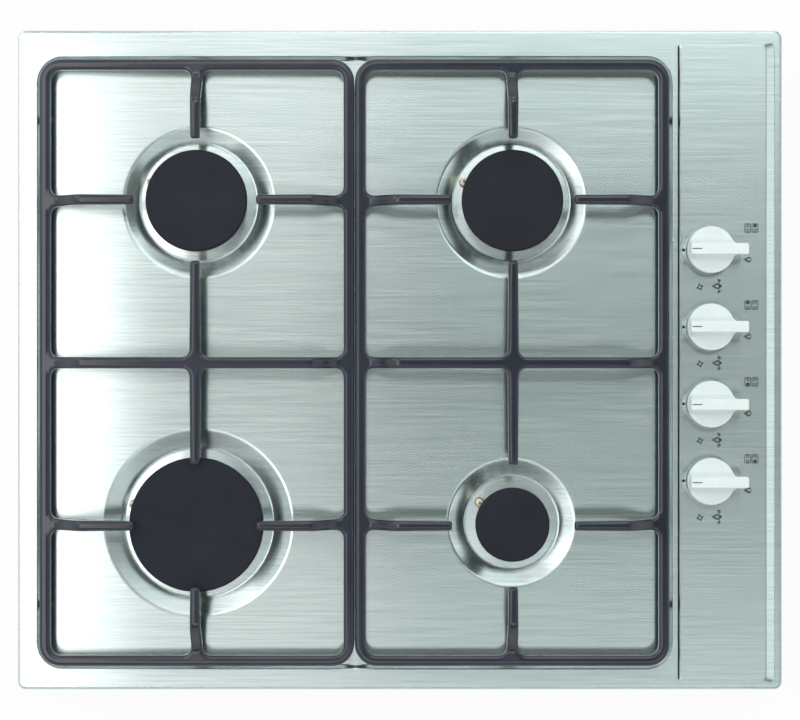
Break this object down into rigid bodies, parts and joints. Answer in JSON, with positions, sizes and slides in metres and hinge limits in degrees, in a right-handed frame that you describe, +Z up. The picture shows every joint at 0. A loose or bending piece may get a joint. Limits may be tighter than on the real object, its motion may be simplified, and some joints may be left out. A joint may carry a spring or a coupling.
{
  "type": "gas cooktop",
  "caption": "Built-in gas cooktop: brushed steel hob, round burners in pressed dishes, cast pan supports and a raised side panel of turning, pushing control knobs.",
  "frame": {"origin": "centre of the burner box's flat underside, which is the middle of the hob's outline in plan", "axes": "+X along the hob's width towards the control knobs, +Y to the rear, +Z up"},
  "size_m": [0.58, 0.5, 0.084],
  "materials": {
    "hob_steel": "brushed along the width, satin",
    "box_steel": "galvanised, dull spangle",
    "seal_foam": "closed-cell foam strip",
    "support_enamel": "satin black vitreous enamel",
    "foot_rubber": "matte heat-proof rubber",
    "cap_enamel": "matte black vitreous enamel",
    "burner_aluminium": "die-cast, slightly rough",
    "electrode_ceramic": "glossy off-white ceramic",
    "pipe_aluminium": "drawn tube, satin",
    "knob_plastic": "smooth pale grey, soft gloss",
    "tap_brass": "machined",
    "pale_plastic": "moulded",
    "dark_plastic": "moulded"
  },
  "bodies": {
    "root": {"hob_top": "hob_steel", "burner_box": "box_steel", "rim_seal": "seal_foam", "worktop_clamp_rear_left": "box_steel", "worktop_clamp_rear_right": "box_steel", "worktop_clamp_front_left": "box_steel", "worktop_clamp_front_right": "box_steel", "burner_cup_rear_left": "burner_aluminium", "burner_cup_rear_right": "burner_aluminium", "burner_cup_front_left": "burner_aluminium", "burner_cup_front_right": "burner_aluminium", "spark_electrode_rear_left": "electrode_ceramic", "spark_electrode_rear_right": "electrode_ceramic", "spark_electrode_front_left": "electrode_ceramic", "spark_electrode_front_right": "electrode_ceramic", "gas_pipe_rear_left": "pipe_aluminium", "gas_pipe_rear_right": "pipe_aluminium", "gas_pipe_front_left": "pipe_aluminium", "gas_pipe_front_right": "pipe_aluminium", "gas_tap_rear_left": "tap_brass", "gas_tap_rear_right": "tap_brass", "gas_tap_front_left": "tap_brass", "gas_tap_front_right": "tap_brass", "gas_rail": "box_steel", "gas_inlet": "tap_brass", "ignition_switch_strip": "pale_plastic", "spark_generator": "dark_plastic", "cable_gland": "dark_plastic", "terminal_block": "pale_plastic"},
    "support_left": {"pan_support_left": "support_enamel", "support_foot_left_1": "foot_rubber", "support_foot_left_2": "foot_rubber", "support_foot_left_3": "foot_rubber", "support_foot_left_4": "foot_rubber"},
    "support_right": {"pan_support_right": "support_enamel", "support_foot_right_1": "foot_rubber", "support_foot_right_2": "foot_rubber", "support_foot_right_3": "foot_rubber", "support_foot_right_4": "foot_rubber"},
    "head_rear_left": {"burner_head_rear_left": "burner_aluminium"},
    "cap_rear_left": {"burner_cap_rear_left": "cap_enamel"},
    "plug_rear_left": {"tap_plug_rear_left": "tap_brass"},
    "knob_rear_left": {"knob_rear_left": "knob_plastic", "spindle_rear_left": "box_steel"},
    "head_rear_right": {"burner_head_rear_right": "burner_aluminium"},
    "cap_rear_right": {"burner_cap_rear_right": "cap_enamel"},
    "plug_rear_right": {"tap_plug_rear_right": "tap_brass"},
    "knob_rear_right": {"knob_rear_right": "knob_plastic", "spindle_rear_right": "box_steel"},
    "head_front_left": {"burner_head_front_left": "burner_aluminium"},
    "cap_front_left": {"burner_cap_front_left": "cap_enamel"},
    "plug_front_left": {"tap_plug_front_left": "tap_brass"},
    "knob_front_left": {"knob_front_left": "knob_plastic", "spindle_front_left": "box_steel"},
    "head_front_right": {"burner_head_front_right": "burner_aluminium"},
    "cap_front_right": {"burner_cap_front_right": "cap_enamel"},
    "plug_front_right": {"tap_plug_front_right": "tap_brass"},
    "knob_front_right": {"knob_front_right": "knob_plastic", "spindle_front_right": "box_steel"}
  },
  "joints": [
    {"name": "support_left_lift", "type": "slide", "parent": "root", "child": "support_left", "axis": [0, 0, 1], "range_m": [0, 0.06]},
    {"name": "support_right_lift", "type": "slide", "parent": "root", "child": "support_right", "axis": [0, 0, 1], "range_m": [0, 0.06]},
    {"name": "head_rear_left_lift", "type": "slide", "parent": "root", "child": "head_rear_left", "axis": [0, 0, 1], "range_m": [0, 0.03]},
    {"name": "cap_rear_left_lift", "type": "slide", "parent": "head_rear_left", "child": "cap_rear_left", "axis": [0, 0, 1], "range_m": [0, 0.02]},
    {"name": "head_rear_right_lift", "type": "slide", "parent": "root", "child": "head_rear_right", "axis": [0, 0, 1], "range_m": [0, 0.03]},
    {"name": "cap_rear_right_lift", "type": "slide", "parent": "head_rear_right", "child": "cap_rear_right", "axis": [0, 0, 1], "range_m": [0, 0.02]},
    {"name": "head_front_left_lift", "type": "slide", "parent": "root", "child": "head_front_left", "axis": [0, 0, 1], "range_m": [0, 0.0015]},
    {"name": "cap_front_left_lift", "type": "slide", "parent": "head_front_left", "child": "cap_front_left", "axis": [0, 0, 1], "range_m": [0, 0.002]},
    {"name": "head_front_right_lift", "type": "slide", "parent": "root", "child": "head_front_right", "axis": [0, 0, 1], "range_m": [0, 0.03]},
    {"name": "cap_front_right_lift", "type": "slide", "parent": "head_front_right", "child": "cap_front_right", "axis": [0, 0, 1], "range_m": [0, 0.02]},
    {"name": "tap_rear_right_turn", "type": "hinge", "parent": "root", "child": "plug_rear_right", "pos_m": [0.2348, 0.0833, 0.037], "axis": [0, 0, 1], "range_deg": [0, 170]},
    {"name": "knob_rear_right_push", "type": "slide", "parent": "plug_rear_right", "child": "knob_rear_right", "axis": [0, 0, -1], "range_m": [0, 0.003], "stiffness_N_per_m": 600, "springref_m": -0.005},
    {"name": "tap_rear_left_turn", "type": "hinge", "parent": "root", "child": "plug_rear_left", "pos_m": [0.2348, 0.025, 0.037], "axis": [0, 0, 1], "range_deg": [0, 170]},
    {"name": "knob_rear_left_push", "type": "slide", "parent": "plug_rear_left", "child": "knob_rear_left", "axis": [0, 0, -1], "range_m": [0, 0.003], "stiffness_N_per_m": 600, "springref_m": -0.005},
    {"name": "tap_front_left_turn", "type": "hinge", "parent": "root", "child": "plug_front_left", "pos_m": [0.2348, -0.0333, 0.037], "axis": [0, 0, 1], "range_deg": [0, 170]},
    {"name": "knob_front_left_push", "type": "slide", "parent": "plug_front_left", "child": "knob_front_left", "axis": [0, 0, -1], "range_m": [0, 0.003], "stiffness_N_per_m": 600, "springref_m": -0.005},
    {"name": "tap_front_right_turn", "type": "hinge", "parent": "root", "child": "plug_front_right", "pos_m": [0.2348, -0.0916, 0.037], "axis": [0, 0, 1], "range_deg": [0, 170]},
    {"name": "knob_front_right_push", "type": "slide", "parent": "plug_front_right", "child": "knob_front_right", "axis": [0, 0, -1], "range_m": [0, 0.003], "stiffness_N_per_m": 600, "springref_m": -0.005}
  ]
}
